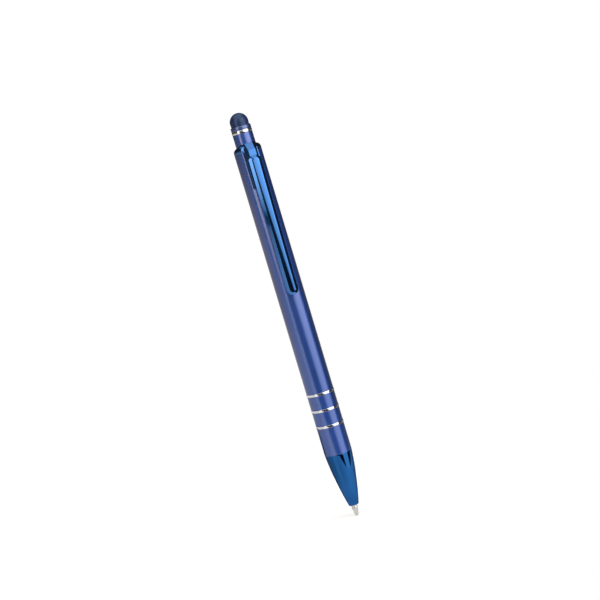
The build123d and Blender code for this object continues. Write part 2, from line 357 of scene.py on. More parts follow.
    @staticmethod
    def modify(piece: Piece, kind: str, **settings: object) -> None:
        """Add a modifier, set it and apply it.

        Args:
            piece: the mesh to change.
            kind: the modifier's type.
            settings: values of the modifier.
        """
        Bench.take(piece)
        modifier = piece.modifiers.new(kind.lower(), kind)
        for key, value in settings.items():
            setattr(modifier, key, value)
        bpy.ops.object.modifier_apply(modifier=modifier.name)

    @staticmethod
    def ease(piece: Piece, width: float, steps: int, angle: float) -> None:
        """Round every edge that is sharper than an angle.

        Args:
            piece: the mesh to change.
            width: width of the rounding.
            steps: number of its segments.
            angle: sharpest angle that stays.
        """
        settings = {"width": width, "segments": steps, "angle_limit": math.radians(angle)}
        Bench.modify(piece, "BEVEL", limit_method="ANGLE", use_clamp_overlap=True, **settings)

    @staticmethod
    def smooth(piece: Piece, angle: float = 35.0) -> None:
        """Shade a piece smooth, with its broad faces kept flat.

        Args:
            piece: the mesh to shade.
            angle: sharpest angle that is shaded smooth.
        """
        Bench.take(piece)
        bpy.ops.object.shade_smooth_by_angle(angle=math.radians(angle))
        Bench.modify(piece, "WEIGHTED_NORMAL", keep_sharp=True, weight=60)

    @staticmethod
    def arc(centre: Station, radius: float, ends: Span, steps: int) -> list[Station]:
        """Stations on a round of a section, both ends included.

        Args:
            centre: (radius, height) of its middle.
            radius: its radius.
            ends: angles of its two ends, from straight outwards.
            steps: number of chords.

        Returns:
            The stations.
        """
        first, last = ends
        angles = [math.radians(first + (last - first) * i / steps) for i in range(steps + 1)]
        out, up = centre
        return [(out + radius * math.cos(a), up + radius * math.sin(a)) for a in angles]

    @staticmethod
    def crowned(radii: Span, ends: Span, rise: float, steps: int) -> list[Station]:
        """Section of a ring with a crowned rim.

        Args:
            radii: its inner and its greatest radius.
            ends: heights of its lower and upper face.
            rise: height of the crown.
            steps: number of the crown's chords.

        Returns:
            The stations.
        """
        inner, rim = radii
        low, high = ends
        half = (high - low) / 2
        crown = (half**2 + rise**2) / (2 * rise)
        lean = math.degrees(math.asin(half / crown))
        round_rim = Bench.arc((rim - crown, low + half), crown, (-lean, lean), steps)
        return [(inner, low), *round_rim, (inner, high)]


class Wiring:
    """Adds and joins the nodes of one node tree."""

    def __init__(self, tree: bpy.types.NodeTree) -> None:
        """Take the tree."""
        self.tree = tree

    def add(self, kind: str, **settings: object) -> bpy.types.Node:
        """Add a node and set its properties.

        Args:
            kind: the node's type.
            settings: values of its properties.

        Returns:
            The node.
        """
        node = self.tree.nodes.new(kind)
        for key, value in settings.items():
            setattr(node, key, value)
        return node

    def feed(self, target: Socket, value: Value) -> None:
        """Set a socket to a number or join it to another socket.

        Args:
            target: the socket that takes the value.
            value: the number or the other socket.
        """
        if isinstance(value, (int, float)):
            target.default_value = value
        else:
            self.tree.links.new(value, target)

    def calc(self, how: str, *values: Value) -> Socket:
        """Work out a value from others.

        Args:
            how: the operation.
            values: sockets or numbers, in order.

        Returns:
            The result.
        """
        node = self.add("ShaderNodeMath", operation=how)
        for target, value in zip(node.inputs, values):
            self.feed(target, value)
        return node.outputs[0]

    def product(self, *values: Value) -> Socket:
        """Multiply values."""
        return reduce(lambda first, second: self.calc("MULTIPLY", first, second), values)

    def blend(self, share: Value, first: Value, second: Value) -> Socket:
        """Mix two values by the share of the second."""
        rest = self.product(self.calc("SUBTRACT", 1.0, share), first)
        return self.calc("ADD", rest, self.product(share, second))

    def ramp(self, value: Socket, start: Value, end: Value, low: float, high: float) -> Socket:
        """Map a value smoothly from one range to another.

        Args:
            value: the value.
            start: its value at the low end.
            end: its value at the high end.
            low: result at the low end.
            high: result at the high end.

        Returns:
            The result.
        """
        node = self.add("ShaderNodeMapRange", interpolation_type="SMOOTHSTEP")
        keys = ("Value", "From Min", "From Max", "To Min", "To Max")
        for key, setting in zip(keys, (value, start, end, low, high)):
            self.feed(node.inputs[key], setting)
        return node.outputs["Result"]

    def tones(self, value: Socket, stops: Sequence[tuple[float, Colour]]) -> Socket:
        """Map a value from 0 to 1 to a colour along a list of stops.

        Args:
            value: the value.
            stops: places and tones, in order.

        Returns:
            The colour.
        """
        node = self.add("ShaderNodeValToRGB")
        elements = node.color_ramp.elements
        elements.remove(elements[-1])
        for index, (place, tone) in enumerate(stops):
            stop = elements.new(place) if index else elements[0]
            stop.position = place
            stop.color = (*tone, 1)
        self.feed(node.inputs["Fac"], value)
        return node.outputs["Color"]

    def along(self, vector: Socket, direction: Vector) -> Socket:
        """Share of a vector along a fixed direction.

        Args:
            vector: the vector.
            direction: the direction.

        Returns:
            The share.
        """
        node = self.add("ShaderNodeVectorMath", operation="DOT_PRODUCT")
        node.inputs[1].default_value = direction
        self.feed(node.inputs[0], vector)
        return node.outputs["Value"]

    def place(self, kind: str = "Object") -> Socket:
        """Place on the object, or another of its coordinates."""
        return self.add("ShaderNodeTexCoord").outputs[kind]


class Glow(Wiring):
    """Lays out the nodes of a lamp panel's material."""

    def __init__(self, name: str, colour: Colour = (1.0, 1.0, 1.0)) -> None:
        """Start a material with one glowing shader.

        Args:
            name: name of the material.
            colour: colour of its light.
        """
        self.material = bpy.data.materials.new(name)
        self.material.use_nodes = True
        super().__init__(self.material.node_tree)
        self.tree.nodes.clear()
        self.output = self.add("ShaderNodeOutputMaterial").inputs["Surface"]
        self.shader = self.add("ShaderNodeEmission")
        self.shader.inputs["Color"].default_value = (*colour, 1)
        self.feed(self.output, self.shader.outputs["Emission"])

    def shine(self, strength: Value) -> None:
        """Let the panel glow by a value."""
        self.feed(self.shader.inputs["Strength"], strength)


@dataclass(frozen=True)
class Grain:
    """A noise with grains of one size, in metres, stretched along the axes."""

    size: float
    detail: float
    stretch: Place = (1.0, 1.0, 1.0)

    def lay(self, desk: Wiring) -> Socket:
        """Add the noise to a node tree.

        Args:
            desk: wiring of the tree.

        Returns:
            The noise.
        """
        mapping = desk.add("ShaderNodeMapping")
        mapping.inputs["Scale"].default_value = self.stretch
        desk.feed(mapping.inputs["Vector"], desk.place())
        node = desk.add("ShaderNodeTexNoise")
        desk.feed(node.inputs["Scale"], 1 / self.size)
        desk.feed(node.inputs["Detail"], self.detail)
        desk.feed(node.inputs["Vector"], mapping.outputs["Vector"])
        return node.outputs["Fac"]


TRIM_LINES = Grain(0.05 * MM, 2.0, (0.02, 0.02, 1.0))
TURNED_LINES = Grain(0.06 * MM, 3.0, (0.02, 0.02, 1.0))
MOULD_GRAIN = Grain(0.3 * MM, 3.0)


@dataclass(frozen=True)
class Finish:
    """Tones, roughness and relief of a surface; the relief's depth in metres."""

    name: str
    dark: Colour
    light: Colour
    rough: Span
    tone: Grain
    haze: Grain
    relief: Grain
    depth: float
    strength: float

    def sockets(self) -> dict[str, object]:
        """Constant sockets of the shader."""
        return {"Metallic": 1.0}

    def make(self) -> Material:
        """Make the finish's material.

        Returns:
            The material.
        """
        material = bpy.data.materials.new(self.name)
        material.use_nodes = True
        desk = Wiring(material.node_tree)
        shader = desk.tree.nodes["Principled BSDF"].inputs
        for key, value in self.sockets().items():
            shader[key].default_value = value
        stops = ((NOISE_LOW, self.dark), (NOISE_HIGH, self.light))
        desk.feed(shader["Base Color"], desk.tones(self.tone.lay(desk), stops))
        rough = desk.ramp(self.haze.lay(desk), NOISE_LOW, NOISE_HIGH, *self.rough)
        desk.feed(shader["Roughness"], rough)
        bump = desk.add("ShaderNodeBump")
        desk.feed(bump.inputs["Distance"], self.depth)
        desk.feed(bump.inputs["Strength"], self.strength)
        desk.feed(bump.inputs["Height"], self.relief.lay(desk))
        for key in ("Normal", "Coat Normal"):
            desk.feed(shader[key], bump.outputs["Normal"])
        return material


@dataclass(frozen=True)
class SatinAnodised(Finish):
    """Bead-blasted and blue anodised aluminium under a thin clear seal."""

    rough: Span = (0.49, 0.55)
    tone: Grain = Grain(6.0 * MM, 3.0)
    haze: Grain = Grain(6.0 * MM, 4.0)
    relief: Grain = Grain(0.09 * MM, 2.0)
    depth: float = 0.004 * MM
    strength: float = 0.25

    def sockets(self) -> dict[str, object]:
        """Constant sockets of the metal and its seal."""
        seal = {"Coat Weight": 1.0, "Coat Roughness": 0.18, "Coat IOR": 1.9}
        return {"Metallic": 1.0, "Specular Tint": (0.0, 0.0, 0.0, 1.0), **seal}


@dataclass(frozen=True)
class GlossBlue(Finish):
    """Mirror-bright blue plating under clear lacquer."""

    rough: Span = (0.07, 0.12)
    tone: Grain = Grain(5.0 * MM, 2.0)
    haze: Grain = Grain(5.0 * MM, 5.0)
    relief: Grain = Grain(1.4 * MM, 1.0)
    depth: float = 0.006 * MM
    strength: float = 0.3
    lacquer: float = 1.0

    def sockets(self) -> dict[str, object]:
        """Constant sockets of the metal and its lacquer."""
        coat = {"Coat Weight": self.lacquer, "Coat Roughness": 0.04, "Coat IOR": 1.62}
        return {"Metallic": 1.0, "Specular Tint": (0.3, 0.3, 0.3, 1.0), **coat}


@dataclass(frozen=True)
class BrightTrim(Finish):
    """Polished bright plating with faint turning lines."""

    rough: Span = (0.06, 0.14)
    tone: Grain = TRIM_LINES
    haze: Grain = TRIM_LINES
    relief: Grain = TRIM_LINES
    depth: float = 0.002 * MM
    strength: float = 0.2


@dataclass(frozen=True)
class StylusRubber(Finish):
    """Smooth dark conductive rubber with a fine moulded skin."""

    rough: Span = (0.28, 0.36)
    tone: Grain = Grain(1.6 * MM, 4.0)
    haze: Grain = Grain(1.6 * MM, 5.0)
    relief: Grain = Grain(0.12 * MM, 2.0)
    depth: float = 0.006 * MM
    strength: float = 0.3

    def sockets(self) -> dict[str, object]:
        """Constant sockets of the rubber."""
        return {"Specular IOR Level": 0.6, "Specular Tint": (0.62, 0.78, 1.0, 1.0)}


@dataclass(frozen=True)
class TurnedMetal(Finish):
    """Bare metal with fine turning lines round the pen's axis."""

    tone: Grain = TURNED_LINES
    haze: Grain = TURNED_LINES
    relief: Grain = TURNED_LINES
    depth: float = 0.003 * MM
    strength: float = 0.35


@dataclass(frozen=True)
class MouldedPlastic(Finish):
    """Plain moulded plastic with a faint grain."""

    tone: Grain = MOULD_GRAIN
    haze: Grain = MOULD_GRAIN
    relief: Grain = MOULD_GRAIN
    depth: float = 0.005 * MM
    strength: float = 0.2
    through: float = 0.0

    def sockets(self) -> dict[str, object]:
        """Constant sockets of the plastic."""
        return {"Transmission Weight": self.through, "IOR": 1.49}


class Finishes:
    """All finishes of the pen, made once."""

    def __init__(self) -> None:
        """Make each material."""
        satin, gloss, metal, plastic = SatinAnodised, GlossBlue, TurnedMetal, MouldedPlastic
        self.satin = satin("satin_blue", (0.031, 0.100, 0.425), (0.036, 0.113, 0.472)).make()
        self.pale_satin = satin("satin_pale_blue", (0.055, 0.11, 0.33), (0.065, 0.125, 0.37)).make()
        self.gloss = gloss("gloss_lacquered_blue", (0.013, 0.152, 0.47), (0.016, 0.17, 0.52)).make()
        # Painted shade: the nose's copy of the gloss blue is darker than the clip's same finish,
        # with a weaker coat, and stands in for less light on the nose.
        self.shaded_gloss = gloss(
            "gloss_blue_painted_shade", (0.0092, 0.108, 0.340), (0.011, 0.121, 0.380), lacquer=0.2
        ).make()
        self.trim = BrightTrim("bright_trim", (0.88, 0.895, 0.935), (0.94, 0.955, 0.99)).make()
        self.rubber = StylusRubber(
            "stylus_rubber", (0.014, 0.033, 0.102), (0.02, 0.041, 0.125)
        ).make()
        self.nickel = metal(
            "nickel_silver", (0.7, 0.68, 0.65), (0.8, 0.77, 0.74), (0.1, 0.22)
        ).make()
        self.carbide = metal(
            "carbide_ball", (0.2, 0.2, 0.21), (0.28, 0.28, 0.29), (0.08, 0.2)
        ).make()
        self.steel = metal(
            "drawn_steel", (0.52, 0.52, 0.54), (0.64, 0.64, 0.66), (0.22, 0.34)
        ).make()
        self.brass = metal(
            "turned_brass", (0.66, 0.47, 0.18), (0.78, 0.58, 0.26), (0.24, 0.36)
        ).make()
        self.pale = plastic(
            "pale_plastic", (0.74, 0.74, 0.71), (0.8, 0.8, 0.77), (0.4, 0.5)
        ).make()
        self.dark = plastic(
            "dark_plastic", (0.01, 0.01, 0.012), (0.016, 0.016, 0.018), (0.4, 0.5)
        ).make()
        self.tube = plastic(
            "clear_tube", (0.8, 0.84, 0.88), (0.86, 0.89, 0.92), (0.12, 0.22), through=0.85
        ).make()
        self.ink = plastic(
            "blue_ink", (0.004, 0.006, 0.04), (0.008, 0.01, 0.06), (0.15, 0.25)
        ).make()


@dataclass
class SubAssembly:
    """What every group of pieces of the pen can do; sizes in metres."""

    finishes: Finishes
    sides: int = 192

    def dress(
        self, piece: Piece, material: Material, slot: Slot, node: str, body: Optional[Body] = None
    ) -> Piece:
        """Give a piece its finish, let it stand for its solid and hang it on its body.

        Args:
            piece: the finished mesh.
            material: its finish.
            slot: the record's slot for its finish; not used.
            node: the solid that it stands for.
            body: the body that it moves with, unless it stretches between two.

        Returns:
            The piece.
        """
        if body:
            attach(piece, body.value)
        piece.data.materials.clear()
        piece.data.materials.append(material)
        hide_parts(node)
        LOG.info("%s: %d faces, in %s", piece.name, len(piece.data.polygons), material.name)
        return piece

    def lathe(
        self, name: str, section: list[Station], edge: float, steps: int = 3, angle: float = 40.0
    ) -> Piece:
        """Turn a closed section, ease its edges and shade it.

        Args:
            name: name of the piece.
            section: its stations.
            edge: width of the eased edges.
            steps: number of their segments.
            angle: sharpest angle in degrees that isn't eased.

        Returns:
            The piece.
        """
        piece = Bench.turn(name, section, self.sides)
        Bench.ease(piece, edge, steps, angle)
        Bench.smooth(piece)
        return piece


@dataclass
class Barrel(SubAssembly):
    """Satin tube with three bright trim rings."""

    low: float = 22.61 * MM
    high: float = 128.21 * MM
    radius: float = 4.7 * MM
    bore: float = 4.1 * MM
    ring_heights: tuple[float, ...] = (32.76 * MM, 38.38 * MM, 44.0 * MM)
    ring_half: float = 0.425 * MM
    ring_seat: float = 0.28 * MM
    ring_proud: float = 0.09 * MM
    ring_crown: float = 0.02 * MM
    gap: float = 0.02 * MM
    slot_half: float = 2.67 * MM
    slot_low: float = 115.69 * MM
    slot_corner: float = 0.62 * MM
    edge: float = 0.05 * MM

    def build(self) -> None:
        """Build and dress the tube and its rings."""
        looks = self.finishes
        self.dress(self.tube(), looks.satin, Slot.SATIN_BLUE, "barrel", Body.BARREL)
        for name, height in zip(("lower_ring", "middle_ring", "upper_ring"), self.ring_heights):
            ring = self.ring(name + "_trim", height)
            self.dress(ring, looks.trim, Slot.BRIGHT_TRIM, name, Body.BARREL)

    def tube(self) -> Piece:
        """Turn the tube with its grooves and cut the slot for the collar's tongue.

        Returns:
            The tube.
        """
        floor = self.radius - self.ring_seat - self.gap
        half = self.ring_half + self.gap
        section = [(self.bore, self.low), (self.radius, self.low)]
        for height in self.ring_heights:
            below, above = height - half, height + half
            section += [(self.radius, below), (floor, below), (floor, above), (self.radius, above)]
        section += [(self.radius, self.high), (self.bore, self.high)]
        piece = Bench.turn("satin_barrel", section, self.sides)
        Bench.ease(piece, self.edge, steps=2, angle=50)
        deep = 2 * self.radius
        low, high = (-self.slot_half, -deep, self.slot_low), (self.slot_half, 0, self.high + deep)
        slot = Bench.tab("slot_cutter", low, high, self.slot_corner)
        Bench.combine(piece, slot, Cut.DIFFERENCE)
        Bench.smooth(piece)
        return piece

    def ring(self, name: str, height: float) -> Piece:
        """Turn one crowned trim ring.

        Args:
            name: name of the ring.
            height: its middle height.

        Returns:
            The ring.
        """
        radii = (self.radius - self.ring_seat, self.radius + self.ring_proud)
        ends = (height - self.ring_half, height + self.ring_half)
        return self.lathe(name, Bench.crowned(radii, ends, self.ring_crown, steps=12), self.edge)


@dataclass
class NoseCone(SubAssembly):
    """Gloss ogive that screws into the barrel."""

    low: float = 3.88 * MM
    high: float = 22.61 * MM
    radius: float = 4.68 * MM
    end_radius: float = 1.72 * MM
    bulge: float = 0.41 * MM
    orifice: float = 1.22 * MM
    land_top: float = 7.24 * MM
    throat: float = 1.6 * MM
    seat: float = 10.04 * MM
    chamber: float = 2.22 * MM
    spigot: float = 3.35 * MM
    spigot_top: float = 30.61 * MM
    edge: float = 0.12 * MM
    chords: int = 48

    def build(self) -> None:
        """Build and dress the cone."""
        cone = self.cone()
        # The nose takes the darker copy of the gloss blue, which is painted shade.
        self.dress(cone, self.finishes.shaded_gloss, Slot.GLOSS_BLUE, "nose_cone", Body.BARREL)

    def cone(self) -> Piece:
        """Turn the ogive with its spigot and stepped bore.

        Returns:
            The cone.
        """
        section = self.ogive() + [
            (self.spigot, self.high),
            (self.spigot, self.spigot_top),
            (self.chamber, self.spigot_top),
            (self.chamber, self.seat),
            (self.throat, self.seat),
            (self.throat, self.land_top),
            (self.orifice, self.land_top),
            (self.orifice, self.low),
        ]
        return self.lathe("gloss_nose", section, self.edge, steps=4)

    def ogive(self) -> list[Station]:
        """Stations of the arc from the open end to the barrel.

        Returns:
            The stations.
        """
        start, end = Vector((self.end_radius, self.low)), Vector((self.radius, self.high))
        chord = end - start
        outward = Vector((chord.y, -chord.x)).normalized()
        radius = (chord.length_squared / 4 + self.bulge**2) / (2 * self.bulge)
        centre = (start + end) / 2 - outward * (radius - self.bulge)
        ends = [math.degrees(math.atan2(*(point - centre).yx)) for point in (start, end)]
        return Bench.arc(tuple(centre), radius, ends, self.chords)


@dataclass
class ClipSet(SubAssembly):
    """Collar with the clip's root, and the sprung clip."""

    barrel_top: float = 128.21 * MM
    collar_top: float = 130.11 * MM
    collar_radius: float = 4.73 * MM
    collar_bore: float = 3.45 * MM
    collar_round: float = 1.5 * MM
    slant: float = 10.0
    overrun: float = 10.0 * MM
    tongue_front: float = 4.32 * MM
    tongue_back: float = 4.11 * MM
    tongue_curve: float = 12.0 * MM
    tongue_half: float = 2.55 * MM
    tongue_low: float = 115.81 * MM
    tongue_corner: float = 0.5 * MM
    root_low: float = 125.01 * MM
    root_bend: float = 128.61 * MM
    root_front: float = 6.52 * MM
    root_back: float = 3.45 * MM
    root_top_front: float = 4.4 * MM
    root_crest: float = 131.02 * MM
    root_front_half: float = 1.25 * MM
    root_base_half: float = 2.65 * MM
    root_edge: float = 0.14 * MM
    arm_outer: float = 7.66 * MM
    arm_inner: float = 6.6 * MM
    arm_top: float = 126.76 * MM
    arm_end: float = 78.66 * MM
    arm_drop: float = 1.6 * MM
    arm_half: float = 2.1 * MM
    arm_end_half: float = 1.95 * MM
    arm_end_round: float = 0.98
    arm_corner: float = 1.15 * MM
    arm_slope_width: float = 1.05 * MM
    arm_slope_depth: float = 0.72 * MM
    arm_ridge: float = 0.25 * MM
    arm_crown: float = 0.035 * MM
    arm_crown_steps: int = 3
    arm_edge: float = 0.1 * MM
    arm_turn: float = 6.5
    arm_turn_centre: float = 4.2 * MM
    arm_stations: int = 14
    dimple_radius: float = 1.5 * MM
    dimple_rise: float = 5.2 * MM
    dimple_tip: float = 4.78 * MM
    smooth_angle: float = 30.0

    def build(self) -> None:
        """Build and dress the collar and the clip."""
        gloss = self.finishes.gloss
        self.dress(self.collar(), gloss, Slot.GLOSS_BLUE, "collar", Body.BARREL)
        self.dress(self.arm(), gloss, Slot.GLOSS_BLUE, "clip_arm", Body.CLIP)

    def collar(self) -> Piece:
        """Cap ring with a slanted rounded top, the root of the clip and a tongue.

        Returns:
            The collar.
        """
        top, far = self.collar_top, self.overrun
        piece = Bench.rod(
            "gloss_collar", self.collar_radius, self.barrel_top, top + far, self.sides
        )
        lean = math.radians(self.slant)
        with Bench.editing(piece):
            Bench.trim((0, 0, top), (0, math.sin(lean), math.cos(lean)))
            Bench.pick(piece, Pick.FACES, lambda centre, normal: normal.z > FACING)
            bpy.ops.mesh.region_to_loop()
            bpy.ops.mesh.bevel(offset=self.collar_round, segments=10, affect="EDGES")
        Bench.combine(piece, self.root(), Cut.UNION)
        low, high = self.root_low - far, self.root_crest + far
        bore = Bench.rod("bore", self.collar_bore, low, high, self.sides)
        Bench.combine(piece, bore, Cut.DIFFERENCE)
        Bench.weld(piece)
        Bench.ease(piece, self.arm_edge / 2, steps=2, angle=50)
        Bench.weld(piece)
        Bench.smooth(piece, self.smooth_angle)
        Bench.join(piece, self.tongue())
        return piece

    def root(self) -> Piece:
        """Block with flared sides that bends over the collar.

        Returns:
            The block, cut back from the barrel.
        """
        half, front, back = self.root_base_half, self.root_front, self.root_back
        low, high = (-half, -front, self.root_low), (half, -back, self.root_crest)
        block = Bench.box("root_block", low, high)
        with Bench.editing(block):
            rise, run = self.root_crest - self.root_bend, front - self.root_top_front
            Bench.trim((0, -front, self.root_bend), Vector((0, -rise, run)).normalized())
            Bench.pick(block, Pick.POINTS, lambda point: point.y < -back - self.root_edge)
            bpy.ops.transform.resize(
                value=(self.root_front_half / half, 1, 1),
                center_override=(0, -front, self.root_low),
            )
            Bench.pick(block, Pick.FACES, lambda centre, normal: normal.y > FACING)
            inward = (0, back - self.collar_bore / 2, 0)
            bpy.ops.mesh.extrude_region_move(TRANSFORM_OT_translate={"value": inward})
        Bench.ease(block, self.root_edge, steps=4, angle=20)
        clear = Bench.rod(
            "barrel_clear", self.collar_radius, self.arm_end, self.barrel_top, self.sides
        )
        Bench.combine(block, clear, Cut.DIFFERENCE)
        return block

    def tongue(self) -> Piece:
        """Curved plate with rounded lower corners that fills the barrel's slot.

        Returns:
            The tongue.
        """
        low, top = self.tongue_low, (self.barrel_top + self.collar_top) / 2
        face = self.tongue_curve
        back = face - self.tongue_front + self.tongue_back
        section = [(back, low), (face, low), (face, top), (back, top)]
        plate = Bench.turn("tongue", section, 2 * self.sides)
        with Bench.editing(plate):
            bpy.ops.transform.translate(value=(0, face - self.tongue_front, 0))
        near, far = (-self.tongue_half, -self.arm_outer, low), (self.tongue_half, 0, top)
        trim = Bench.tab("tongue_trim", near, far, self.tongue_corner)
        Bench.combine(plate, trim, Cut.INTERSECT)
        Bench.ease(plate, self.arm_edge / 2, steps=2, angle=50)
        Bench.smooth(plate, self.smooth_angle)
        return plate

    def arm(self) -> Piece:
        """Bar with sloped flanks, a rounded end and a gripping dimple.

        Returns:
            The clip.
        """
        shoulder = self.arm_outer - self.arm_slope_depth
        low = (-self.arm_half, -shoulder, self.arm_end)
        piece = Bench.box("gloss_clip", low, (self.arm_half, -self.arm_inner, self.arm_top))
        near = self.arm_edge
        end, top = self.arm_end + near, self.arm_top - near
        with Bench.editing(piece):
            Bench.pick(piece, Pick.POINTS, lambda point: point.z < end)
            share = self.arm_end_half / self.arm_half
            centre = (0, -shoulder, self.arm_end)
            bpy.ops.transform.resize(value=(share, 1, 1), center_override=centre)
            Bench.pick(
                piece, Pick.EDGES, lambda a, b: abs(a.y - b.y) > near and max(a.z, b.z) < end
            )
            width = self.arm_end_half * self.arm_end_round
            bpy.ops.mesh.bevel(offset=width, segments=14, affect="EDGES")
            Bench.pick(
                piece, Pick.EDGES, lambda a, b: abs(a.y - b.y) > near and min(a.z, b.z) > top
            )
            bpy.ops.mesh.bevel(offset=self.arm_corner, segments=1, affect="EDGES")
            Bench.pick(piece, Pick.FACES, lambda centre, normal: normal.y < -FACING)
            bpy.ops.mesh.inset(thickness=self.arm_slope_width, depth=self.arm_slope_depth)
            bpy.ops.mesh.region_to_loop()
            bpy.ops.mesh.bevel(offset=self.arm_ridge, segments=5, affect="EDGES")
            self.crown(piece)
        Bench.ease(piece, self.arm_edge, steps=3, angle=30)
        with Bench.editing(piece):
            lean = math.atan(self.arm_drop / (self.arm_top - self.arm_end))
            hinge = (0, -self.arm_inner, self.arm_top)
            bpy.ops.transform.rotate(value=-lean, orient_axis="X", center_override=hinge)
            self.twist(piece)
        Bench.smooth(piece, self.smooth_angle)
        Bench.join(piece, self.dimple())
        return piece

    def twist(self, piece: Piece) -> None:
        """Turn the open clip little by little towards its free end.

        Args:
            piece: the clip in edit mode.
        """
        pitch = (self.arm_top - self.arm_end) / self.arm_stations
        steps = range(1, self.arm_stations)
        for step in steps:
            Bench.score((0, 0, self.arm_top - pitch * step), (0, 0, 1))
        for step in steps:
            height = self.arm_top - pitch * (step - 0.5)
            Bench.pick(piece, Pick.POINTS, lambda point: point.z < height)
            bpy.ops.transform.rotate(
                value=math.radians(self.arm_turn / len(steps)),
                orient_axis="Z",
                center_override=(0, -self.arm_turn_centre, height),
            )

    def crown(self, piece: Piece) -> None:
        """Raise the open clip's front face to a shallow crown.

        Args:
            piece: the clip in edit mode.
        """
        flat = self.arm_half - self.arm_slope_width - self.arm_ridge
        near = 2 * WELD
        count = self.arm_crown_steps
        shares = [step / count for step in range(1 - count, count)]
        for share in shares:
            Bench.score((flat * share, 0, 0), (1, 0, 0))
        for share in shares:
            place, front = flat * share, -self.arm_outer + near
            Bench.pick(
                piece, Pick.POINTS, lambda point: abs(point.x - place) < near and point.y < front
            )
            bpy.ops.transform.translate(value=(0, -self.arm_crown * (1 - share**2), 0))

    def dimple(self) -> Piece:
        """Round dimple under the clip's free end.

        Returns:
            The dimple's cap.
        """
        centre = -(self.dimple_tip + self.dimple_radius)
        Bench.clear()
        bpy.ops.mesh.primitive_uv_sphere_add(
            segments=48,
            ring_count=24,
            radius=self.dimple_radius,
            location=(0, centre, self.arm_end + self.dimple_rise),
        )
        ball = Bench.settle("dimple")
        with Bench.editing(ball):
            cut = -(self.arm_inner - self.arm_drop + self.arm_ridge)
            Bench.trim((0, cut, 0), (0, -1, 0), FINE_CUT)
        Bench.smooth(ball, self.smooth_angle)
        return ball


@dataclass
class PushButton(SubAssembly):
    """Button tube, bright ring, ferrule and rubber dome."""

    sides: int = 160
    sleeve_low: float = 121.01 * MM
    sleeve_radius: float = 3.4 * MM
    sleeve_bore: float = 2.9 * MM
    web_low: float = 132.73 * MM
    hole: float = 1.6 * MM
    ring_low: float = 134.55 * MM
    ring_proud: float = 0.06 * MM
    ring_round: float = 0.1 * MM
    ferrule_low: float = 135.63 * MM
    ferrule_floor: float = 136.05 * MM
    ferrule_top: float = 137.0 * MM
    ferrule_radius: float = 3.42 * MM
    ferrule_round: float = 0.28 * MM
    skirt: float = 3.05 * MM
    seat_gap: float = 0.03 * MM
    dome_radius: float = 3.12 * MM
    dome_top: float = 141.4 * MM
    dome_wall: float = 0.85 * MM
    edge: float = 0.06 * MM

    def build(self) -> None:
        """Build and dress the button's outer pieces."""
        looks, body = self.finishes, Body.BUTTON
        self.dress(self.sleeve(), looks.satin, Slot.SATIN_BLUE, "plunger_sleeve", body)
        self.dress(self.ring(), looks.trim, Slot.BRIGHT_TRIM, "plunger_ring", body)
        self.dress(self.ferrule(), looks.pale_satin, Slot.SATIN_BLUE, "stylus_ferrule", body)
        self.dress(self.dome(), looks.rubber, Slot.STYLUS_RUBBER, "stylus_dome", body)

    def sleeve(self) -> Piece:
        """Turn the button tube with its closing web.

        Returns:
            The tube.
        """
        section = [
            (self.sleeve_bore, self.sleeve_low),
            (self.sleeve_radius, self.sleeve_low),
            (self.sleeve_radius, self.ring_low),
            (self.hole, self.ring_low),
            (self.hole, self.web_low),
            (self.sleeve_bore, self.web_low),
        ]
        return self.lathe("satin_sleeve", section, self.edge)

    def ring(self) -> Piece:
        """Turn the bright ring with its crowned rim.

        Returns:
            The ring.
        """
        radii = (self.hole, self.sleeve_radius + self.ring_proud)
        ends = (self.ring_low, self.ferrule_low)
        section = Bench.crowned(radii, ends, self.ring_round, steps=10)
        return self.lathe("bright_button_ring", section, self.edge / 2)

    def ferrule(self) -> Piece:
        """Turn the cup that holds the rubber.

        Returns:
            The cup.
        """
        rim, top, floor = self.ferrule_radius, self.ferrule_top, self.ferrule_floor
        inner = self.skirt + self.seat_gap
        centre = (rim - self.ferrule_round, top - self.ferrule_round)
        section = [(self.hole, self.ferrule_low), (rim, self.ferrule_low)]
        section += Bench.arc(centre, self.ferrule_round, (0, 90), steps=8)
        section += [(inner, top), (inner, floor), (self.hole, floor)]
        return self.lathe("satin_ferrule", section, self.edge / 2)

    def dome(self) -> Piece:
        """Turn the hollow rubber dome from pole to pole.

        Returns:
            The dome.
        """
        floor = self.ferrule_floor
        centre = self.dome_top - self.dome_radius
        inner = self.skirt - self.dome_wall
        section = [(0.0, self.dome_top)]
        section += Bench.arc((0, centre), self.dome_radius, (86, 0), steps=28)
        section += [(self.skirt, self.ferrule_top), (self.skirt, floor), (inner, floor)]
        section += Bench.arc((0, centre), inner, (0, 84), steps=14)
        section.append((0.0, centre + inner))
        piece = Bench.turn("rubber_dome", section, self.sides, closed=False)
        Bench.smooth(piece)
        return piece


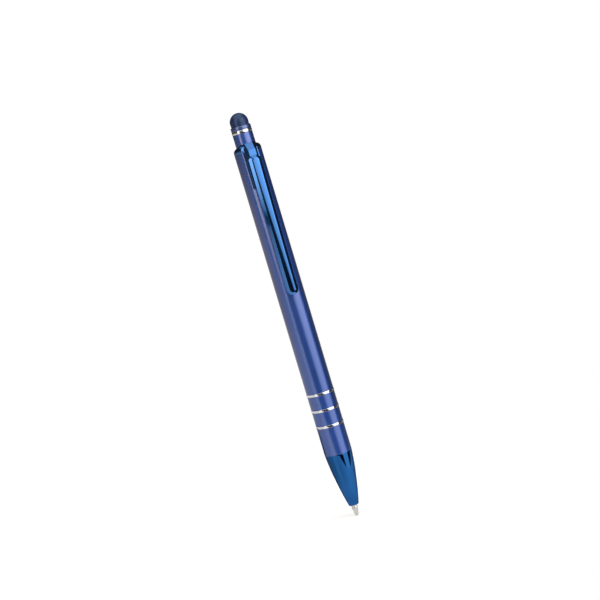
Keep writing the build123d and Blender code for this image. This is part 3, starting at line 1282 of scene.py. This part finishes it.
@dataclass
class WritingPoint(SubAssembly):
    """Metal point of the refill, with the socket of its ball."""

    sides: int = 128
    lip: float = 0.3 * MM
    lip_radius: float = 0.62 * MM
    neck_top: float = 1.7 * MM
    neck_radius: float = 0.84 * MM
    taper_top: float = 2.75 * MM
    taper_radius: float = 1.16 * MM
    waist_low: float = 3.9 * MM
    waist_high: float = 4.4 * MM
    waist: float = 0.99 * MM
    body_low: float = 4.7 * MM
    radius: float = 1.12 * MM
    shoulder_low: float = 9.0 * MM
    shoulder_high: float = 11.0 * MM
    shoulder: float = 1.5 * MM
    tail: float = 1.07 * MM
    tail_top: float = 14.0 * MM
    channel: float = 0.25 * MM
    ball_radius: float = 0.5 * MM
    ball_gap: float = 0.02 * MM
    edge: float = 0.05 * MM

    def build(self) -> None:
        """Build and dress the point."""
        nickel = self.finishes.nickel
        self.dress(self.point(), nickel, Slot.NICKEL_SILVER, "refill_point", Body.REFILL)

    def point(self) -> Piece:
        """Turn the point with the socket of its ball.

        Returns:
            The point.
        """
        socket = self.ball_radius + self.ball_gap
        mouth = math.degrees(math.asin((self.lip - self.ball_radius) / socket))
        top = math.degrees(math.acos(self.channel / socket))
        section = [
            (self.lip_radius, self.lip),
            (self.neck_radius, self.neck_top),
            (self.taper_radius, self.taper_top),
            (self.waist, self.waist_low),
            (self.waist, self.waist_high),
            (self.radius, self.body_low),
            (self.radius, self.shoulder_low),
            (self.shoulder, self.shoulder_low),
            (self.shoulder, self.shoulder_high),
            (self.tail, self.shoulder_high),
            (self.tail, self.tail_top),
            (self.channel, self.tail_top),
        ]
        section += Bench.arc((0, self.ball_radius), socket, (top, mouth), steps=12)
        return self.lathe("nickel_point", section, self.edge, angle=12)


@dataclass
class ReturnSpring(SubAssembly):
    """Wound spring that the refill presses down in the nose."""

    sides: int = 16
    low: float = 10.27 * MM
    rise: float = 13.54 * MM
    radius: float = 1.92 * MM
    wire: float = 0.2 * MM
    turns: int = 9
    steps: int = 48

    def build(self) -> None:
        """Build the spring, with its foot on the nose's seat and its head on the refill."""
        spring = self.dress(self.coil(), self.finishes.steel, Slot.STEEL, "return_spring")
        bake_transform(spring)

    def coil(self) -> Piece:
        """Wind the wire's section up the pen's axis and close its ends.

        Returns:
            The spring.
        """
        Bench.clear()
        bpy.ops.mesh.primitive_circle_add(
            vertices=self.sides,
            radius=self.wire,
            fill_type="NOTHING",
            location=(self.radius, 0, self.low),
            rotation=(math.pi / 2, 0, 0),
        )
        piece = Bench.settle("wound_spring")
        winding = {"screw_offset": self.rise / self.turns, "iterations": self.turns}
        Bench.modify(piece, "SCREW", steps=self.steps, render_steps=self.steps, **winding)
        with Bench.editing(piece):
            bpy.ops.mesh.fill_holes(sides=0)
            bpy.ops.mesh.select_all(action="SELECT")
            bpy.ops.mesh.normals_make_consistent(inside=False)
        Bench.smooth(piece)
        return piece


class InnerWorks(SubAssembly):
    """Finishes of the solids that keep their own shape."""

    def build(self) -> None:
        """Dress each carried-over solid."""
        looks = self.finishes
        coats = {
            "writing_ball": looks.carbide,
            "barrel_insert": looks.brass,
            "cam_guide": looks.pale,
            "stylus_stem": looks.steel,
            "pusher": looks.pale,
            "rotor": looks.dark,
            "refill_tube": looks.tube,
            "ink_column": looks.ink,
            "refill_plug": looks.pale,
        }
        for node, material in coats.items():
            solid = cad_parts[node]
            solid.data.materials.clear()
            solid.data.materials.append(material)
            LOG.info("%s: in %s", node, material.name)


@dataclass(frozen=True)
class SoftBox:
    """A flat lamp that faces the pen; angles in degrees round the pen from the camera."""

    name: str
    first: float
    last: float
    low: float
    high: float
    radiance: float
    low_share: float
    lean: float
    bend: float
    soft: float
    left_share: float = 1.0
    colour: Colour = (1.0, 1.0, 1.0)
    distance: float = 0.7
    right_soft: float = 0.012
    foot: float = 0.05
    slope_end: float = 0.05
    dim: Span = (-0.06, 0.08)


@dataclass
class Studio:
    """Camera, floor, lamps and backdrop; lengths in metres, angles in degrees."""

    side: float = 12.3
    distance: float = 596.6 * MM
    height: float = 139.6 * MM
    aim_height: float = 75.84 * MM
    aim_right: float = 2.4 * MM
    roll: float = 16.7
    focal_pixels: float = 1794.0
    image_pixels: float = 600.0
    sensor: float = 36.0
    near_clip: float = 10.0 * MM
    floor_reach: float = 42.5 * MM
    floor_turn: float = 51.0
    floor_span: float = 800.0 * MM
    floor_back: float = 70.0 * MM
    floor_tone: float = 0.86
    # Radii from the point over which the floor's painted shade sets in.
    floor_near: Span = (15.0 * MM, 45.0 * MM)
    floor_seen_from: Span = (20.0 * MM, 110.0 * MM)
    floor_seen: Span = (0.46, 1.0)
    # Painted glow of the floor, seen only in reflections, from the point to its right front edge.
    floor_painted_glow: Span = (0.14, 0.6)
    wall_distance: float = 180.0 * MM
    wall_height: float = 150.0 * MM
    wall_fade: float = 90.0 * MM
    wall_first: float = -165.0
    wall_last: float = -66.0
    wall_sides: int = 120
    wall_radiance: float = 0.62
    wall_top_radiance: float = 0.09
    wall_foot: Span = (30.0 * MM, 60.0 * MM)
    wall_foot_share: float = 1.16
    wall_colour: Colour = (0.98, 0.99, 1.0)
    wall_band_colour: Colour = (1.0, 0.88, 0.70)
    wall_band_low: Span = (22.0 * MM, 45.0 * MM)
    wall_band_high: Span = (112.0 * MM, 128.0 * MM)
    canopy_half: float = 0.55
    canopy_place: Place = (0.0, -0.25, 0.8)
    canopy_radiance: float = 1.2
    room_climb: Span = (-0.14, -0.04)
    # Painted shade of the floor in reflections: levels by direction round the pen, light only
    # towards the left box.
    floor_painted_shade: tuple[Station, ...] = (
        (-180, 0.48), (-66, 0.48), (-56, 0.86), (-32, 0.86),
        (-20, 0.4), (20, 0.4), (40, 0.45), (180, 0.45),
    )
    low_room: tuple[Station, ...] = (
        (-180, 0.05), (-176, 0.12), (-165, 0.03), (85, 0.03), (105, 0.05),
        (125, 0.2), (160, 0.2), (172, 0.05), (180, 0.05),
    )
    high_room: tuple[Station, ...] = (
        (-180, 0.05), (-176, 0.12), (-165, 0.05), (-66, 0.05), (-56, 0.2),
        (70, 0.2), (85, 0.05), (165, 0.04), (180, 0.05),
    )
    boxes: tuple[SoftBox, ...] = (
        SoftBox(
            "right_box", first=12.0, last=75.5, low=-0.45, high=0.9, radiance=2.3,
            low_share=0.55, lean=1.05, bend=0.02, soft=0.06, left_share=0.62,
        ),
        SoftBox(
            "left_box", first=-51.0, last=-31.0, low=0.02, high=0.9, radiance=2.65,
            low_share=1.0, lean=0.4, bend=0.07, soft=0.012, colour=(1.0, 0.89, 0.78),
        ),
    )

    def __post_init__(self) -> None:
        """Work out the level directions towards the camera and to its right."""
        turn = math.radians(self.side)
        self.toward = Vector((-math.sin(turn), -math.cos(turn), 0))
        self.right = Vector((math.cos(turn), -math.sin(turn), 0))

    def heading(self, angle: float) -> Vector:
        """Level direction at an angle to the right of the camera."""
        turn = math.radians(angle)
        return self.toward * math.cos(turn) + self.right * math.sin(turn)

    def build(self) -> None:
        """Set up the whole studio."""
        bpy.context.scene.view_settings.view_transform = "Standard"
        self.camera()
        self.floor()
        for box in self.boxes:
            self.hang(box)
        self.wall()
        self.canopy()
        self.world()

    def camera(self) -> None:
        """Place the camera at the viewing angle, rolled so that the pen leans."""
        place = self.toward * self.distance + UP * self.height
        aim = self.right * self.aim_right + UP * self.aim_height
        ahead = (aim - place).normalized()
        level = ahead.cross(UP).normalized()
        roll = math.radians(self.roll)
        up = level.cross(ahead) * math.cos(roll) + level * math.sin(roll)
        data = bpy.data.cameras.new("photo_camera")
        data.sensor_width = self.sensor
        data.lens = self.sensor * self.focal_pixels / self.image_pixels
        data.clip_start = self.near_clip
        camera = bpy.data.objects.new("photo_camera", data)
        bpy.context.scene.collection.objects.link(camera)
        turn = Matrix((ahead.cross(up), up, -ahead)).transposed().to_4x4()
        camera.matrix_world = Matrix.Translation(place) @ turn
        bpy.context.scene.camera = camera

    def hang(self, box: SoftBox) -> None:
        """Hang a soft box that glows towards the pen, dimmer at its lower end.

        Args:
            box: its directions, heights and brightness.
        """
        half = box.distance * math.tan(math.radians((box.last - box.first) / 2))
        rise, lift = (box.high - box.low) / 2, (box.low + box.high) / 2
        direction = self.heading((box.first + box.last) / 2)
        panel = self.panel(box.name, half, rise)
        turn = direction.to_track_quat("Z", "Y").to_matrix().to_4x4()
        panel.matrix_world = Matrix.Translation(direction * box.distance + UP * lift) @ turn
        desk = Glow(box.name, box.colour)
        place = desk.place()
        across, along = (desk.along(place, Vector(axis)) for axis in ((1, 0, 0), (0, 1, 0)))
        drop = desk.calc("MAXIMUM", desk.calc("SUBTRACT", box.bend - lift, along), 0.0)
        left = desk.calc("ADD", desk.product(drop, box.lean), -half)
        bright = (box.low_share * box.radiance, box.radiance)
        strength = desk.product(
            desk.ramp(across, left, desk.calc("ADD", left, box.soft), 0, 1),
            desk.ramp(across, -half, box.slope_end, box.left_share, 1),
            desk.ramp(across, half, half - box.right_soft, 0, 1),
            desk.ramp(along, -rise, box.foot - rise, 0, 1),
            desk.ramp(along, *(end - lift for end in box.dim), *bright),
        )
        desk.shine(strength)
        panel.data.materials.append(desk.material)

    def wall(self) -> None:
        """Stand a low curved white card round the left of the pen."""
        section = [(self.wall_distance, 0.0), (self.wall_distance, self.wall_height)]
        card = Bench.turn("left_card", section, self.wall_sides, closed=False)
        with Bench.editing(card):
            Bench.pick(card, Pick.FACES, lambda centre, normal: not self.beside(centre))
            bpy.ops.mesh.delete(type="FACE")
        self.hide(card)
        desk = Glow("left_card")
        height = desk.along(desk.place(), UP)
        rise = desk.ramp(height, *self.wall_band_low, 0.0, 1.0)
        fall = desk.ramp(height, *self.wall_band_high, 1.0, 0.0)
        stops = ((0.0, self.wall_colour), (1.0, self.wall_band_colour))
        desk.feed(desk.shader.inputs["Color"], desk.tones(desk.product(rise, fall), stops))
        ends = (self.wall_fade, self.wall_height)
        level = desk.ramp(height, *ends, self.wall_radiance, self.wall_top_radiance)
        foot = desk.ramp(height, *self.wall_foot, self.wall_foot_share, 1.0)
        desk.shine(desk.product(level, foot))
        card.data.materials.append(desk.material)

    def beside(self, place: Vector) -> bool:
        """Whether a place lies in the directions of the left card."""
        turn = math.degrees(math.atan2(place.dot(self.right), place.dot(self.toward)))
        return self.wall_first < turn < self.wall_last

    def canopy(self) -> None:
        """Hang a level lamp over the pen."""
        panel = self.panel("canopy", self.canopy_half, self.canopy_half)
        over = Matrix.Translation(self.canopy_place)
        panel.matrix_world = over @ Matrix.Rotation(math.pi, 4, "X")
        desk = Glow("canopy")
        desk.shine(self.canopy_radiance)
        panel.data.materials.append(desk.material)

    @staticmethod
    def panel(name: str, half_width: float, half_height: float) -> Piece:
        """Add a flat panel of scenery that the camera doesn't see.

        Args:
            name: name of the panel.
            half_width: half its width.
            half_height: half its height.

        Returns:
            The panel, upright on its own axes.
        """
        Bench.clear()
        bpy.ops.mesh.primitive_plane_add(size=2)
        panel = Bench.settle(name)
        with Bench.editing(panel):
            share = (half_width, half_height, 1)
            bpy.ops.transform.resize(value=share, center_override=(0, 0, 0))
        Studio.hide(panel)
        return panel

    @staticmethod
    def hide(panel: Piece) -> None:
        """Keep a lamp or card out of the picture and out of shadows.

        Args:
            panel: the lamp or card.
        """
        panel.visible_camera = False
        panel.visible_shadow = False

    def floor(self) -> None:
        """Lay a white table under the point, with its edges behind and to the right, and with a
        painted glow and painted shade that only reflections show.
        """
        outward = self.heading(self.floor_turn)
        Bench.clear()
        bpy.ops.mesh.primitive_plane_add(size=2 * self.floor_span)
        table = Bench.settle("studio_floor")
        with Bench.editing(table):
            for side, reach in ((outward, self.floor_reach), (-self.toward, self.floor_back)):
                bpy.ops.mesh.select_all(action="SELECT")
                bpy.ops.mesh.bisect(plane_co=side * reach, plane_no=side, clear_outer=True)
        desk = Glow("studio_floor")
        rays = desk.add("ShaderNodeLightPath").outputs
        place = desk.place()
        length = desk.add("ShaderNodeVectorMath", operation="LENGTH")
        desk.feed(length.inputs[0], place)
        radius = length.outputs["Value"]
        seen = desk.ramp(radius, *self.floor_seen_from, *self.floor_seen)
        # Painted glow: to reflections the floor glows brighter towards its right front edge.
        painted_glow = desk.ramp(desk.along(place, outward), 0.0, self.floor_reach, *self.floor_painted_glow)
        to_camera = desk.product(rays["Is Camera Ray"], seen)
        desk.shine(desk.calc("ADD", to_camera, desk.product(rays["Is Glossy Ray"], painted_glow)))
        # Painted shade: to reflections the floor is darker away from the point, except towards the
        # left box.
        painted_shade = self.levels(desk, place, self.floor_painted_shade)
        near = desk.ramp(radius, *self.floor_near, 1.0, 0.0)
        painted_shade_tone = desk.blend(near, painted_shade, self.floor_tone)
        paint = desk.add("ShaderNodeBsdfDiffuse")
        tone = desk.blend(rays["Is Glossy Ray"], self.floor_tone, painted_shade_tone)
        desk.feed(paint.inputs["Color"], tone)
        both = desk.add("ShaderNodeAddShader")
        desk.feed(both.inputs[0], paint.outputs["BSDF"])
        desk.feed(both.inputs[1], desk.shader.outputs["Emission"])
        desk.feed(desk.output, both.outputs["Shader"])
        table.data.materials.append(desk.material)

    def world(self) -> None:
        """Backdrop: white to the camera, grey behind the pen and dim elsewhere."""
        world = bpy.data.worlds.new("studio")
        bpy.context.scene.world = world
        world.use_nodes = True
        world.node_tree.nodes.clear()
        desk = Wiring(world.node_tree)
        rays = desk.add("ShaderNodeLightPath").outputs
        view = desk.place("Generated")
        low, high = (self.levels(desk, view, room) for room in (self.low_room, self.high_room))
        room = desk.blend(desk.ramp(desk.along(view, UP), *self.room_climb, 0, 1), low, high)
        seen = desk.calc("MAXIMUM", rays["Is Camera Ray"], rays["Is Transmission Ray"])
        light = desk.add("ShaderNodeBackground")
        light.inputs["Color"].default_value = (1, 1, 1, 1)
        desk.feed(light.inputs["Strength"], desk.blend(seen, room, 1.0))
        output = desk.add("ShaderNodeOutputWorld")
        desk.feed(output.inputs["Surface"], light.outputs["Background"])

    def levels(self, desk: Wiring, view: Socket, stops: Sequence[Station]) -> Socket:
        """Grey level by direction round the pen.

        Args:
            desk: wiring of the node tree.
            view: the direction.
            stops: angles to the right of the camera and their levels, in order.

        Returns:
            The level.
        """
        sides = [desk.along(view, side) for side in (self.right, self.toward)]
        share = desk.calc("MULTIPLY_ADD", desk.calc("ARCTAN2", *sides), 1 / math.tau, 0.5)
        greys = [((angle + 180) / 360, (level,) * 3) for angle, level in stops]
        return desk.tones(share, greys)


def main() -> None:
    """Build the pen's pieces in order, then the studio round them."""
    logging.basicConfig(level=logging.INFO, format="%(name)s: %(message)s")
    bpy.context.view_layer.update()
    finishes = Finishes()
    groups = (Barrel, NoseCone, ClipSet, PushButton, WritingPoint, ReturnSpring, InnerWorks)
    for group in groups:
        group(finishes).build()
    Studio().build()


if __name__ == "__main__":
    main()
